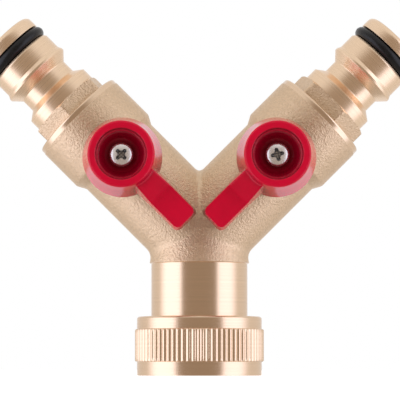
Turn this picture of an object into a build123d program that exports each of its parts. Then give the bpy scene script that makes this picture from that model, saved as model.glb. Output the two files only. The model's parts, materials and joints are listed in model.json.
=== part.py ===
from build123d import *

import os
from math import atan2, cos, degrees, radians, sin, sqrt, tan

# Two-way brass hose splitter: a Y casting with a swivel inlet nut, two ball valves and two click nipples.
# The origin is the centre of the inlet nut's open face, +Z runs up the inlet axis, +X is the right-hand arm
# and -Y is the front, where the levers are. Millimetres. Along an arm, s counts from the junction of the
# three pipes; across a valve, h counts from the arm's axis towards the front.

# ---------------------------------------------------------------- driving dimensions
SIDES = {"left": -1, "right": 1}

# Casting
JUNCTION_Z = 31.85
ARM_R = 10.5
COLLAR_R = 11.65
COLLAR_RISE_S = (26.2, 28.3)
COLLAR_END_S = 40.0
COLLAR_ROUND = 0.7
LIP_LENGTH = 1.4  # turned band at the collar's mouth
LIP_STEP = 0.08
LIP_CHAMFER = 0.5
NECK_CAST_R = 11.42
NECK_TURNED_R = 11.05
NECK_TURNED_Z = 25.85
NECK_END_Z = 9.8
NECK_CHAMFER = 0.4
NECK_BORE_R = 8.0
NECK_BORE_TOP_Z = 25.0
WATERWAY_R = 4.75
NECK_FILLET = 4.0
CROTCH_FILLET = 1.2
SEAM_WIDTH = 0.1

# Valve housing
VALVE_S = 24.6
CAVITY_R = 7.3
BOSS_R = 6.2
BOSS_TOP_H = 13.4
LUG_R = 7.6
LUG_ANGLE = 20.0
LUG_BASE_H = 9.0

# Ball and seats
BALL_R = 7.0
BALL_BORE_R = 4.5
BALL_GAP = 0.1
SEAT_R = 7.2
SEAT_BORE_R = 5.1
SEAT_LIP = 3.6  # from the ball's centre to each seat's inner lip
SEAT_BACK = 7.3  # and to its outer face

# Stem
STEM_R = 3.5
STEM_GAP = 0.05
STEM_SHOULDER_H = 13.7
STEM_TOP_H = 17.2
STEM_FLATS = 4.8
STEM_CHAMFER = 0.3
FLANGE_R = 4.4
FLANGE_H = (7.5, 8.7)
FLANGE_POCKET_R = 4.5
FLANGE_POCKET_H = 9.3
TANG_WIDTH = 2.4
TANG_LENGTH = 5.6
TANG_FOOT_H = 5.15
SLOT_WIDTH = 2.6
SLOT_FLOOR_H = 5.05
THRUST_WASHER_H = (8.75, 9.25)
THRUST_WASHER_R = (3.6, 4.4)
STEM_SEAL_H = 11.05
STEM_SEAL_CORD_R = 0.71
STEM_SEAL_RING_R = 2.77
STEM_GROOVE_R = 2.0
STEM_GROOVE_HALF = 0.85

# Lever
HUB_BASE_H = 12.4
HUB_WAIST = (7.95, 19.5)
HUB_RIM_H = 23.2
HUB_BASE_R = 9.1
HUB_RIM_R = 7.4
RECESS_RIM_R = 5.55
RECESS_FLOOR_R = 4.0
RECESS_FLOOR_H = 19.3
SKIRT_INNER_R = 6.6
SKIRT_POCKET_R = 7.9
SKIRT_POCKET_ANGLE = 113.0
SKIRT_ROOF_H = 13.8
LEVER_LENGTH = 20.6
LEVER_WIDTH = 5.9
LEVER_TOP_H = (21.15, 18.6)
LEVER_UNDER_H = (13.4, 15.2)
LEVER_RAMP_TOP = (7.2, 12.4)
LEVER_RAMP_UNDER = (8.5, 12.0)
LEVER_TIP_ROUND = 1.3
LEVER_EDGE_ROUND = 0.6
LEVER_FIT = 0.1

# Lever screw, M3 pan head
SCREW_R = 1.3
SCREW_TAPPED_R = 1.35
SCREW_CLEARANCE_R = 1.6
SCREW_HEAD_R = 2.65
SCREW_HEAD_HEIGHT = 2.1
SCREW_HEAD_ROUND = 1.1
SCREW_LENGTH = 5.6
SCREW_POINT = 0.4
TAPPED_DEPTH = 4.9
CROSS_WIDTH = 0.72
CROSS_SPAN = 3.1
CROSS_DEPTH = 1.3
CROSS_TURN = {"left": 0.0, "right": 58.0}

# Click nipple
SHANK_R = 7.95
SHANK_BORE_R = 8.0
SEAT_GAP = 0.05
HEX_S = (40.05, 43.55)
HEX_FLATS = 17.07
HEX_CHAMFER_R = 9.05
HEX_CHAMFER_S = 43.05
HEX_TURN = {"left": 21.0, "right": 50.0}
GUIDE_R = 8.53
GUIDE_END_S = 46.3
WAIST_R = 6.53
WAIST_S = (47.8, 50.9)
RIB_R = 8.42
RIB_S = (52.9, 53.4)
NOSE_R = 8.0
NOSE_S = (54.2, 57.9)
GROOVE_LIP_R = 7.6
GROOVE_R = 5.55
GROOVE_S = (58.5, 61.3)
TIP_R = 7.9
TIP_ROUND = 1.3
TIP_S = 64.35
NIPPLE_BORE_R = 4.5
BORE_CHAMFER = 0.6
NIPPLE_SEAL_S = 59.9
NIPPLE_SEAL_CORD_R = 1.3
NIPPLE_SEAL_RING_R = 6.9

# Swivel nut
NUT_HEIGHT = 13.55
NUT_BAND_R = 14.33
NUT_SHOULDER_ROUND = 0.6
NUT_FOOT_ROUND = 0.2
KNURL_R = 14.8
KNURL_DEPTH = 0.42
KNURL_RIBS = 76
KNURL_Z = (3.2, 10.7)
KNURL_CHAMFER = 0.3
NUT_HOLE_R = 11.15
LEAD_IN_R = 13.2
LEAD_IN_DEPTH = 0.5
THREAD_CREST_R = 12.06
THREAD_ROOT_R = 13.22
THREAD_PITCH = 1.814
THREAD_ROOT_FLAT = 0.15
THREAD_FLANK = 27.5
THREAD_TURNS = 4
THREAD_FIRST_Z = 1.4
GASKET_POCKET_R = 12.75
GASKET_POCKET_Z = (7.7, 9.9)
GASKET_R = (8.0, 12.65)
GASKET_Z = (7.75, 9.7)
WIRE_Z = 11.7
WIRE_RING_R = 11.1
WIRE_R = 0.6
WIRE_CHANNEL_R = 0.68
WIRE_ARC = 325.0

HALF = 1 / sqrt(2)  # both arms lean 45 degrees
JUNCTION = Vector(0, 0, JUNCTION_Z)
CAVITY_S = (VALVE_S - SEAT_BACK, VALVE_S + SEAT_BACK)


# ---------------------------------------------------------------- planes and axes
def arm_direction(side):
    return Vector(SIDES[side] * HALF, 0, HALF)


def arm_side_direction(side):
    return Vector(HALF, 0, -SIDES[side] * HALF)


def arm_section(side):
    """Plane through an arm's axis: local X is the radius, local Y is s."""
    across = arm_side_direction(side)
    return Plane(origin=JUNCTION, x_dir=across, z_dir=across.cross(arm_direction(side)))


def arm_cross(side, s):
    """Plane square to an arm."""
    direction = arm_direction(side)
    return Plane(origin=JUNCTION + direction * s, x_dir=arm_side_direction(side), z_dir=direction)


def arm_axis(side):
    return Axis(JUNCTION, arm_direction(side))


def valve_centre(side):
    return JUNCTION + arm_direction(side) * VALVE_S


def valve_axis(side):
    return Axis(valve_centre(side), (0, -1, 0))


def valve_section(side):
    """Plane through a valve's axis: local X points along the lever, local Y is h."""
    lever = arm_direction(side) * -1
    return Plane(origin=valve_centre(side), x_dir=lever, z_dir=lever.cross(Vector(0, -1, 0)))


def valve_plan(side, h):
    """Plane square to a valve's axis: local X points along the lever."""
    centre = valve_centre(side) + Vector(0, -h, 0)
    return Plane(origin=centre, x_dir=arm_direction(side) * -1, z_dir=(0, -1, 0))


# ---------------------------------------------------------------- shared shapes
def turn_profile(points, plane, axis, mode=Mode.ADD, arc=360.0):
    """Revolve a closed half section."""
    with BuildSketch(plane) as section:
        with BuildLine():
            Polyline(*points, close=True)
        make_face()
    revolve(section.sketch, axis=axis, revolution_arc=arc, mode=mode)


def ring_section(inner, outer, low, high):
    return [(inner, low), (outer, low), (outer, high), (inner, high)]


def sector_points(radius, middle, spread, steps=8):
    """Corners of a circular sector about the local origin, in degrees."""
    points = [(0, 0)]
    for k in range(steps + 1):
        angle = radians(middle + spread * (k / steps - 0.5))
        points.append((radius * cos(angle), radius * sin(angle)))
    return points


def knurl_points():
    """Outline of the knurled band, one V per rib."""
    points = []
    for k in range(2 * KNURL_RIBS):
        angle = radians(180.0 * k / KNURL_RIBS)
        radius = KNURL_R - KNURL_DEPTH * (k % 2)
        points.append((radius * cos(angle), radius * sin(angle)))
    return points


def lug_direction(side):
    """Angle of the stop lug in the valve's plan: halfway between the lever's two stops, on the far side."""
    plan = valve_plan(side, 0)
    up = Vector(0, 0, 1)
    return degrees(atan2(up.dot(plan.y_dir), up.dot(plan.x_dir)))


def save(piece, name):
    piece.part.label = name
    export_step(piece.part, f"parts/{name}.step")


# ---------------------------------------------------------------- casting
def cast_arm(side):
    arm = [(0, 0), (ARM_R, 0), (ARM_R, COLLAR_RISE_S[1]), (0, COLLAR_RISE_S[1])]
    turn_profile(arm, arm_section(side), arm_axis(side))


def cast_collar(side):
    lip_r = COLLAR_R - LIP_STEP
    lip_s = COLLAR_END_S - LIP_LENGTH
    with BuildSketch(arm_section(side)) as section:
        with BuildLine():
            Polyline(
                (0, COLLAR_RISE_S[0]),
                (ARM_R, COLLAR_RISE_S[0]),
                (COLLAR_R, COLLAR_RISE_S[1]),
                (COLLAR_R, lip_s),
                (lip_r, lip_s),
                (lip_r, COLLAR_END_S - LIP_CHAMFER),
                (lip_r - LIP_CHAMFER, COLLAR_END_S),
                (0, COLLAR_END_S),
                close=True,
            )
        make_face()
        shoulder = section.vertices().sort_by_distance((COLLAR_R, COLLAR_RISE_S[1]))[0]
        fillet(shoulder, COLLAR_ROUND)
    revolve(section.sketch, axis=arm_axis(side))


def cast_neck():
    turn_profile(
        [
            (0, NECK_END_Z),
            (NECK_TURNED_R - NECK_CHAMFER, NECK_END_Z),
            (NECK_TURNED_R, NECK_END_Z + NECK_CHAMFER),
            (NECK_TURNED_R, NECK_TURNED_Z),
            (NECK_CAST_R, NECK_TURNED_Z),
            (ARM_R, JUNCTION_Z),
            (0, JUNCTION_Z),
        ],
        Plane.XZ,
        Axis.Z,
    )


def cast_boss(side):
    """Stem housing with the lug that both lever stops run against."""
    with BuildSketch(valve_plan(side, 0)) as housing:
        Circle(BOSS_R)
    extrude(housing.sketch, amount=BOSS_TOP_H)
    with BuildSketch(valve_plan(side, LUG_BASE_H)) as lug:
        with BuildLine():
            Polyline(*sector_points(LUG_R, lug_direction(side), LUG_ANGLE), close=True)
        make_face()
    extrude(lug.sketch, amount=BOSS_TOP_H - LUG_BASE_H)


def bore_arm(side):
    """Waterway, ball cavity and nipple bore, then the stem's hole from the front."""
    turn_profile(
        [
            (0, 0),
            (WATERWAY_R, 0),
            (WATERWAY_R, CAVITY_S[0]),
            (CAVITY_R, CAVITY_S[0]),
            (CAVITY_R, CAVITY_S[1]),
            (SHANK_BORE_R, CAVITY_S[1]),
            (SHANK_BORE_R, COLLAR_END_S),
            (0, COLLAR_END_S),
        ],
        arm_section(side),
        arm_axis(side),
        mode=Mode.SUBTRACT,
    )
    turn_profile(
        [
            (0, 0),
            (FLANGE_POCKET_R, 0),
            (FLANGE_POCKET_R, FLANGE_POCKET_H),
            (STEM_R + STEM_GAP, FLANGE_POCKET_H),
            (STEM_R + STEM_GAP, BOSS_TOP_H),
            (0, BOSS_TOP_H),
        ],
        valve_section(side),
        valve_axis(side),
        mode=Mode.SUBTRACT,
    )


def bore_neck():
    turn_profile(
        [
            (0, NECK_END_Z),
            (NECK_BORE_R, NECK_END_Z),
            (NECK_BORE_R, NECK_BORE_TOP_Z),
            (WATERWAY_R, NECK_BORE_TOP_Z + NECK_BORE_R - WATERWAY_R),
            (WATERWAY_R, JUNCTION_Z),
            (0, JUNCTION_Z),
        ],
        Plane.XZ,
        Axis.Z,
        mode=Mode.SUBTRACT,
    )


def make_body():
    with BuildPart() as body:
        for side in SIDES:
            cast_arm(side)
        cast_neck()
        fillet(body.edges().filter_by(is_crotch_seam), CROTCH_FILLET)
        fillet(body.edges().filter_by(is_neck_seam), NECK_FILLET)
        for side in SIDES:
            cast_collar(side)
            cast_boss(side)
        for side in SIDES:
            bore_arm(side)
        bore_neck()
        wire_groove = [
            (WIRE_RING_R - WIRE_CHANNEL_R, WIRE_Z - WIRE_CHANNEL_R),
            (NECK_CAST_R, WIRE_Z - WIRE_CHANNEL_R),
            (NECK_CAST_R, WIRE_Z + WIRE_CHANNEL_R),
            (WIRE_RING_R - WIRE_CHANNEL_R, WIRE_Z + WIRE_CHANNEL_R),
        ]
        turn_profile(wire_groove, Plane.XZ, Axis.Z, mode=Mode.SUBTRACT)
    save(body, "splitter_body")


def is_crotch_seam(edge):
    """Where the two arms meet above the junction, in the plane between them."""
    between = edge.bounding_box().size.X < SEAM_WIDTH and edge.center().Z > JUNCTION_Z
    return edge.geom_type != GeomType.LINE and between


def is_neck_seam(edge):
    """Where the neck meets either arm, below the junction."""
    box = edge.bounding_box()
    below = NECK_TURNED_Z + SEAM_WIDTH < edge.center().Z < JUNCTION_Z
    return edge.geom_type != GeomType.LINE and below and box.size.Z > SEAM_WIDTH


# ---------------------------------------------------------------- valves
def make_ball(side):
    with BuildPart() as ball:
        with BuildSketch(valve_section(side)):
            with BuildLine():
                CenterArc((0, 0), BALL_R, -90, 180)
                Line((0, -BALL_R), (0, BALL_R))
            make_face()
        revolve(axis=valve_axis(side))
        with BuildSketch(arm_cross(side, VALVE_S - BALL_R)):
            Circle(BALL_BORE_R)
        extrude(amount=2 * BALL_R, mode=Mode.SUBTRACT)
        with BuildSketch(valve_plan(side, SLOT_FLOOR_H)):
            Rectangle(SLOT_WIDTH, 2 * BALL_R)
        extrude(amount=BALL_R, mode=Mode.SUBTRACT)
    save(ball, f"{side}_ball")


def make_seat(side, name, outward):
    """PTFE ring whose lip is a zone of the sphere that the ball runs on."""
    sphere_r = BALL_R + BALL_GAP
    lip_r = sqrt(sphere_r**2 - SEAT_LIP**2)
    throat = sqrt(sphere_r**2 - SEAT_BORE_R**2)
    middle_angle = (atan2(SEAT_LIP, lip_r) + atan2(throat, SEAT_BORE_R)) / 2
    middle = (sphere_r * cos(middle_angle), sphere_r * sin(middle_angle))
    with BuildPart() as seat:
        with BuildSketch(seat_section(side, outward)):
            with BuildLine():
                ThreePointArc((lip_r, SEAT_LIP), middle, (SEAT_BORE_R, throat))
                Polyline(
                    (SEAT_BORE_R, throat),
                    (SEAT_BORE_R, SEAT_BACK),
                    (SEAT_R, SEAT_BACK),
                    (SEAT_R, SEAT_LIP),
                    (lip_r, SEAT_LIP),
                )
            make_face()
        revolve(axis=arm_axis(side))
    save(seat, f"{side}_{name}_seat")


def seat_section(side, outward):
    """Half section from the ball's centre, with local Y running towards the seat."""
    across = arm_side_direction(side)
    along = arm_direction(side) * outward
    return Plane(origin=valve_centre(side), x_dir=across, z_dir=across.cross(along))


def make_stem(side):
    with BuildPart() as stem:
        turn_profile(
            [
                (0, FLANGE_H[0]),
                (FLANGE_R, FLANGE_H[0]),
                (FLANGE_R, FLANGE_H[1]),
                (STEM_R, FLANGE_H[1]),
                (STEM_R, STEM_SEAL_H - STEM_GROOVE_HALF),
                (STEM_GROOVE_R, STEM_SEAL_H - STEM_GROOVE_HALF),
                (STEM_GROOVE_R, STEM_SEAL_H + STEM_GROOVE_HALF),
                (STEM_R, STEM_SEAL_H + STEM_GROOVE_HALF),
                (STEM_R, STEM_TOP_H - STEM_CHAMFER),
                (STEM_R - STEM_CHAMFER, STEM_TOP_H),
                (0, STEM_TOP_H),
            ],
            valve_section(side),
            valve_axis(side),
        )
        with BuildSketch(valve_plan(side, TANG_FOOT_H)):
            Rectangle(TANG_WIDTH, TANG_LENGTH)
        extrude(amount=FLANGE_H[0] - TANG_FOOT_H)
        with BuildSketch(valve_plan(side, STEM_SHOULDER_H)):
            Rectangle(2 * STEM_R, 2 * STEM_R)
            Rectangle(2 * STEM_R, STEM_FLATS, mode=Mode.SUBTRACT)
        extrude(amount=STEM_TOP_H - STEM_SHOULDER_H, mode=Mode.SUBTRACT)
        with BuildSketch(valve_plan(side, STEM_TOP_H - TAPPED_DEPTH)):
            Circle(SCREW_TAPPED_R)
        extrude(amount=TAPPED_DEPTH, mode=Mode.SUBTRACT)
    save(stem, f"{side}_stem")


def make_stem_ring(side):
    with BuildPart() as ring:
        with BuildSketch(valve_section(side)):
            with Locations((STEM_SEAL_RING_R, STEM_SEAL_H)):
                Circle(STEM_SEAL_CORD_R)
        revolve(axis=valve_axis(side))
    save(ring, f"{side}_stem_o_ring")


def make_thrust_washer(side):
    with BuildPart() as washer:
        section = ring_section(*THRUST_WASHER_R, *THRUST_WASHER_H)
        turn_profile(section, valve_section(side), valve_axis(side))
    save(washer, f"{side}_thrust_washer")


# ---------------------------------------------------------------- levers
def lever_arm_outline():
    """Side view of the lever's arm: x from the valve's axis, y is h."""
    return [
        (RECESS_FLOOR_R, LEVER_UNDER_H[0]),
        (LEVER_RAMP_UNDER[0], LEVER_UNDER_H[0]),
        (LEVER_RAMP_UNDER[1], LEVER_UNDER_H[1]),
        (LEVER_LENGTH, LEVER_UNDER_H[1]),
        (LEVER_LENGTH, LEVER_TOP_H[1]),
        (LEVER_RAMP_TOP[1], LEVER_TOP_H[1]),
        (LEVER_RAMP_TOP[0], LEVER_TOP_H[0]),
        (RECESS_FLOOR_R, LEVER_TOP_H[0]),
    ]


def make_lever(side):
    with BuildPart() as lever:
        with BuildSketch(valve_section(side)):
            with BuildLine():
                Polyline(*lever_arm_outline(), close=True)
            make_face()
        extrude(amount=LEVER_WIDTH / 2, both=True)
        tip = lever_edges(lever, side, lambda x, h: x > LEVER_LENGTH - LEVER_EDGE_ROUND)
        fillet(tip.filter_by(Axis.Y), LEVER_TIP_ROUND)
        rims = lever_edges(lever, side, lambda x, h: x > LEVER_RAMP_TOP[0] and h > LEVER_TOP_H[1] - 0.1)
        fillet(rims, LEVER_EDGE_ROUND)
        turn_profile(
            [
                (0, HUB_BASE_H),
                (HUB_BASE_R, HUB_BASE_H),
                HUB_WAIST,
                (HUB_RIM_R, HUB_RIM_H),
                (0, HUB_RIM_H),
            ],
            valve_section(side),
            valve_axis(side),
        )
        turn_profile(
            [
                (0, RECESS_FLOOR_H),
                (RECESS_FLOOR_R, RECESS_FLOOR_H),
                (RECESS_RIM_R, HUB_RIM_H),
                (0, HUB_RIM_H),
            ],
            valve_section(side),
            valve_axis(side),
            mode=Mode.SUBTRACT,
        )
        lips = lever.edges().filter_by(GeomType.CIRCLE).group_by(Axis.Y)[0]
        fillet(lips, LEVER_EDGE_ROUND)
        with BuildSketch(valve_plan(side, HUB_BASE_H)):
            Circle(SKIRT_INNER_R)
            with BuildLine():
                Polyline(*sector_points(SKIRT_POCKET_R, 180.0, SKIRT_POCKET_ANGLE), close=True)
            make_face()
        extrude(amount=SKIRT_ROOF_H - HUB_BASE_H, mode=Mode.SUBTRACT)
        with BuildSketch(valve_plan(side, SKIRT_ROOF_H)):
            Circle(STEM_R + LEVER_FIT)
            Rectangle(4 * STEM_R, STEM_FLATS + 2 * LEVER_FIT, mode=Mode.INTERSECT)
        extrude(amount=STEM_TOP_H + LEVER_FIT - SKIRT_ROOF_H, mode=Mode.SUBTRACT)
        with BuildSketch(valve_plan(side, SKIRT_ROOF_H)):
            Circle(SCREW_CLEARANCE_R)
        extrude(amount=HUB_RIM_H - SKIRT_ROOF_H, mode=Mode.SUBTRACT)
    save(lever, f"{side}_lever")


def lever_edges(lever, side, wanted):
    """Edges whose middle, as distance along the lever and height h, answers the test."""
    plane = valve_section(side)

    def chosen(edge):
        local = plane.to_local_coords(edge.center())
        return wanted(local.X, local.Y)

    return lever.edges().filter_by(chosen)


def make_lever_screw(side):
    top = RECESS_FLOOR_H + SCREW_HEAD_HEIGHT
    foot = RECESS_FLOOR_H - SCREW_LENGTH
    with BuildPart() as screw:
        turn_profile(
            [
                (0, foot),
                (SCREW_R - SCREW_POINT, foot),
                (SCREW_R, foot + SCREW_POINT),
                (SCREW_R, RECESS_FLOOR_H),
                (SCREW_HEAD_R, RECESS_FLOOR_H),
                (SCREW_HEAD_R, top),
                (0, top),
            ],
            valve_section(side),
            valve_axis(side),
        )
        brow = screw.edges().filter_by(GeomType.CIRCLE).group_by(Axis.Y)[0]
        fillet(brow, SCREW_HEAD_ROUND)
        with BuildSketch(valve_plan(side, top - CROSS_DEPTH)):
            for turn in (0, 90):
                Rectangle(CROSS_SPAN, CROSS_WIDTH, rotation=CROSS_TURN[side] + turn)
        extrude(amount=CROSS_DEPTH, taper=-6.0, mode=Mode.SUBTRACT)
    save(screw, f"{side}_lever_screw")


# ---------------------------------------------------------------- nipples
def make_nipple(side):
    root_s = CAVITY_S[1] + SEAT_GAP
    corner_r = HEX_FLATS / sqrt(3)
    with BuildPart() as nipple:
        with BuildSketch(arm_cross(side, HEX_S[0])):
            RegularPolygon(corner_r, 6, rotation=HEX_TURN[side])
        extrude(amount=HEX_S[1] - HEX_S[0])
        turn_profile(
            [
                (0, HEX_S[0]),
                (corner_r, HEX_S[0]),
                (corner_r, HEX_CHAMFER_S),
                (HEX_CHAMFER_R, HEX_S[1]),
                (0, HEX_S[1]),
            ],
            arm_section(side),
            arm_axis(side),
            mode=Mode.INTERSECT,
        )
        with BuildSketch(arm_section(side)):
            with BuildLine():
                Polyline(
                    (0, root_s),
                    (SHANK_R, root_s),
                    (SHANK_R, HEX_S[0]),
                    (GUIDE_R, HEX_S[0]),
                    (GUIDE_R, GUIDE_END_S),
                    (WAIST_R, WAIST_S[0]),
                    (WAIST_R, WAIST_S[1]),
                    (RIB_R, RIB_S[0]),
                    (RIB_R, RIB_S[1]),
                    (NOSE_R, NOSE_S[0]),
                    (NOSE_R, NOSE_S[1]),
                    (GROOVE_LIP_R, GROOVE_S[0]),
                    (GROOVE_R, GROOVE_S[0]),
                    (GROOVE_R, GROOVE_S[1]),
                    (TIP_R, GROOVE_S[1]),
                    (TIP_R, TIP_S - TIP_ROUND),
                )
                TangentArc((TIP_R, TIP_S - TIP_ROUND), (TIP_R - TIP_ROUND, TIP_S), tangent=(0, 1))
                Polyline((TIP_R - TIP_ROUND, TIP_S), (0, TIP_S), (0, root_s))
            make_face()
        revolve(axis=arm_axis(side))
        turn_profile(
            [
                (0, root_s),
                (NIPPLE_BORE_R, root_s),
                (NIPPLE_BORE_R, TIP_S - BORE_CHAMFER),
                (NIPPLE_BORE_R + BORE_CHAMFER, TIP_S),
                (0, TIP_S),
            ],
            arm_section(side),
            arm_axis(side),
            mode=Mode.SUBTRACT,
        )
    save(nipple, f"{side}_nipple")


def make_nipple_ring(side):
    with BuildPart() as ring:
        with BuildSketch(arm_section(side)):
            with Locations((NIPPLE_SEAL_RING_R, NIPPLE_SEAL_S)):
                Circle(NIPPLE_SEAL_CORD_R)
        revolve(axis=arm_axis(side))
    save(ring, f"{side}_nipple_o_ring")


# ---------------------------------------------------------------- inlet
def thread_groove(middle_z):
    """Section of one turn of the thread, shown as a closed groove."""
    half_root = THREAD_ROOT_FLAT / 2
    half_mouth = half_root + (THREAD_ROOT_R - THREAD_CREST_R) * tan(radians(THREAD_FLANK))
    return [
        (THREAD_CREST_R, middle_z - half_mouth),
        (THREAD_ROOT_R, middle_z - half_root),
        (THREAD_ROOT_R, middle_z + half_root),
        (THREAD_CREST_R, middle_z + half_mouth),
    ]


def make_nut():
    with BuildPart() as nut:
        with BuildSketch(Plane.XY.offset(KNURL_Z[0])):
            with BuildLine():
                Polyline(*knurl_points(), close=True)
            make_face()
        extrude(amount=KNURL_Z[1] - KNURL_Z[0])
        turn_profile(
            [
                (0, KNURL_Z[0]),
                (KNURL_R - KNURL_CHAMFER, KNURL_Z[0]),
                (KNURL_R, KNURL_Z[0] + KNURL_CHAMFER),
                (KNURL_R, KNURL_Z[1] - KNURL_CHAMFER),
                (KNURL_R - KNURL_CHAMFER, KNURL_Z[1]),
                (0, KNURL_Z[1]),
            ],
            Plane.XZ,
            Axis.Z,
            mode=Mode.INTERSECT,
        )
        turn_profile(ring_section(0, NUT_BAND_R, 0, NUT_HEIGHT), Plane.XZ, Axis.Z)
        rims = nut.edges().filter_by(GeomType.CIRCLE).group_by(Axis.Z)
        fillet(rims[-1], NUT_SHOULDER_ROUND)
        fillet(nut.edges().filter_by(GeomType.CIRCLE).group_by(Axis.Z)[0], NUT_FOOT_ROUND)
        turn_profile(
            [
                (0, 0),
                (LEAD_IN_R, 0),
                (THREAD_CREST_R, LEAD_IN_DEPTH),
                (THREAD_CREST_R, GASKET_POCKET_Z[0]),
                (GASKET_POCKET_R, GASKET_POCKET_Z[0]),
                (GASKET_POCKET_R, GASKET_POCKET_Z[1]),
                (NUT_HOLE_R, GASKET_POCKET_Z[1]),
                (NUT_HOLE_R, NUT_HEIGHT),
                (0, NUT_HEIGHT),
            ],
            Plane.XZ,
            Axis.Z,
            mode=Mode.SUBTRACT,
        )
        for k in range(THREAD_TURNS):
            groove = thread_groove(THREAD_FIRST_Z + k * THREAD_PITCH)
            turn_profile(groove, Plane.XZ, Axis.Z, mode=Mode.SUBTRACT)
        channel = ring_section(
            NUT_HOLE_R - NECK_CHAMFER,
            WIRE_RING_R + WIRE_CHANNEL_R,
            WIRE_Z - WIRE_CHANNEL_R,
            WIRE_Z + WIRE_CHANNEL_R,
        )
        turn_profile(channel, Plane.XZ, Axis.Z, mode=Mode.SUBTRACT)
    save(nut, "swivel_nut")


def make_gasket():
    with BuildPart() as gasket:
        turn_profile(ring_section(*GASKET_R, *GASKET_Z), Plane.XZ, Axis.Z)
    save(gasket, "inlet_gasket")


def make_retaining_ring():
    """Open wire ring, half in the neck's groove and half in the nut's."""
    with BuildPart() as wire:
        with BuildSketch(Plane.XZ):
            with Locations((WIRE_RING_R, WIRE_Z)):
                Circle(WIRE_R)
        revolve(axis=Axis.Z, revolution_arc=WIRE_ARC)
    save(wire, "nut_retaining_ring")


# ---------------------------------------------------------------- all the pieces
os.makedirs("parts", exist_ok=True)
make_body()
make_nut()
make_gasket()
make_retaining_ring()
for hand in SIDES:
    make_nipple(hand)
    make_nipple_ring(hand)
    make_ball(hand)
    make_seat(hand, "inner", -1)
    make_seat(hand, "outer", 1)
    make_stem(hand)
    make_stem_ring(hand)
    make_thrust_washer(hand)
    make_lever(hand)
    make_lever_screw(hand)
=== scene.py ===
"""Brass hose splitter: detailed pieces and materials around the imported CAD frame."""

import json
from math import acos, cos, pi, radians, sin, sqrt, tan

import bmesh
import bpy
import numpy as np
from mathutils import Matrix, Vector


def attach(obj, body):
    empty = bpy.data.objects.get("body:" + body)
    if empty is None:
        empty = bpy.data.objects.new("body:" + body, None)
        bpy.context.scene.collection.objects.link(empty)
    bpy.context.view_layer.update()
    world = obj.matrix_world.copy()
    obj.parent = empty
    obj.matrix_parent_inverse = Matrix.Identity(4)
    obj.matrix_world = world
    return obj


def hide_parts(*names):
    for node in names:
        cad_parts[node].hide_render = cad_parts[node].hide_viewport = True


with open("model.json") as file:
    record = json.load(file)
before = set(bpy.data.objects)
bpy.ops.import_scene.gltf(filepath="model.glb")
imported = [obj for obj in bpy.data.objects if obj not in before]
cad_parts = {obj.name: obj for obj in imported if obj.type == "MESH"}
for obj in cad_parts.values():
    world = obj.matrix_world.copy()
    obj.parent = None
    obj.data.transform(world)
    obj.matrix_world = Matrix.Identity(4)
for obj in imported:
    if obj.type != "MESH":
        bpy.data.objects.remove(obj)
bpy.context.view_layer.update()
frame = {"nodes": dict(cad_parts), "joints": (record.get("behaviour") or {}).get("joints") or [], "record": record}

# ---------------------------------------------------------------- sizes, in millimetres
MM = 0.001
SIDES = {"left": -1, "right": 1}
MOUNTS = {m["name"]: m for m in frame["record"]["mounts"]}
JOINTS = {j["name"]: j for j in frame["joints"]}

JUNCTION_Z = 31.85
ARM_R = 10.5
COLLAR_R = 11.65
COLLAR_RISE_S = (26.2, 28.3)
COLLAR_END_S = 40.0
LIP_LENGTH = 1.4
LIP_STEP = 0.08
NECK_CAST_R = 11.42
NECK_TURNED_R = 11.05
NECK_TURNED_Z = 25.85
NECK_END_Z = 9.8
NECK_BORE_R = 8.0
NECK_BORE_TOP_Z = 25.0
WATERWAY_R = 4.75
CAVITY_R = 7.3
CAVITY_S = (17.3, 31.9)
SHANK_BORE_R = 8.0
WIRE_GROOVE = (10.42, 11.02, 12.38)  # radius, then lowest and highest z
NECK_FILLET = 4.0
CROTCH_FILLET = 1.3

# heights (H) are from a ball's centre towards the front
BOSS_R = 6.2
BOSS_FLARE = 0.9
BOSS_FOOT_H = 8.4
BOSS_FLARE_TOP_H = 11.2
BOSS_TOP_H = 13.4
LUG_R = 7.6
LUG_ROOT_R = 3.9
LUG_BASE_H = 9.0
LUG_HALF_ANGLE = 10.0
STEM_WELL = (4.5, 9.3)  # radius, height
STEM_BORE = (3.55, 14.0)
MACHINED_BELOW_TOP = 4.6

SHANK_R = 7.95
SHANK_S = 31.95
HEX_S = (40.05, 43.55)
HEX_FLATS = 17.07
HEX_CHAMFER = (9.05, 43.05)  # radius on the outer face, and where the corners begin to fall
HEX_CORNER_ROUND = 0.07
HEX_FLATS_FROM_R = 8.3
HEX_TURN = {"left": 21.0, "right": 50.0}
GUIDE_R = 8.53
NIPPLE_BORE_R = 4.5
TIP_S = 64.35
SEAL_S = 59.9
SEAL_RING_R = 7.0
SEAL_CORD_R = 1.33

NUT_HEIGHT = 13.55
NUT_BAND_R = 14.33
NUT_FOOT = ((13.45, 0.0), (14.15, 0.0), (14.28, 0.06), (NUT_BAND_R, 0.2))  # radius, z
KNURL_R = 14.8
KNURL_DEPTH = 0.28
KNURL_HALF_RIB = (0.0, 0.07, 0.11, 0.15, 0.19, 0.46, 0.5)  # parts of the pitch, from the crest's middle
KNURL_RIBS = 76
KNURL_Z = (3.2, 10.7)
KNURL_ENDS = ((14.45, 0.0), (14.66, 0.1), (KNURL_R, 0.3))  # radius, distance from the band's end
NUT_HOLE_R = 11.2
THREAD_CREST_R = 12.06
THREAD_ROOT_R = 13.22
THREAD_PITCH = 1.814
THREAD_FLANK = 27.5
THREAD_HALF_FLAT = 0.08
THREAD_END_GAP = 0.15
THREAD_FADE = 0.5
THREAD_ROWS = 86
THREAD_MOUTH = (13.2, 2.3)  # radius at the open face, and how fast it shrinks with z
GASKET_POCKET = (12.75, 7.7, 9.9)  # radius, then lowest and highest z
WIRE_CHANNEL = (11.78, 11.02, 12.38)

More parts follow.
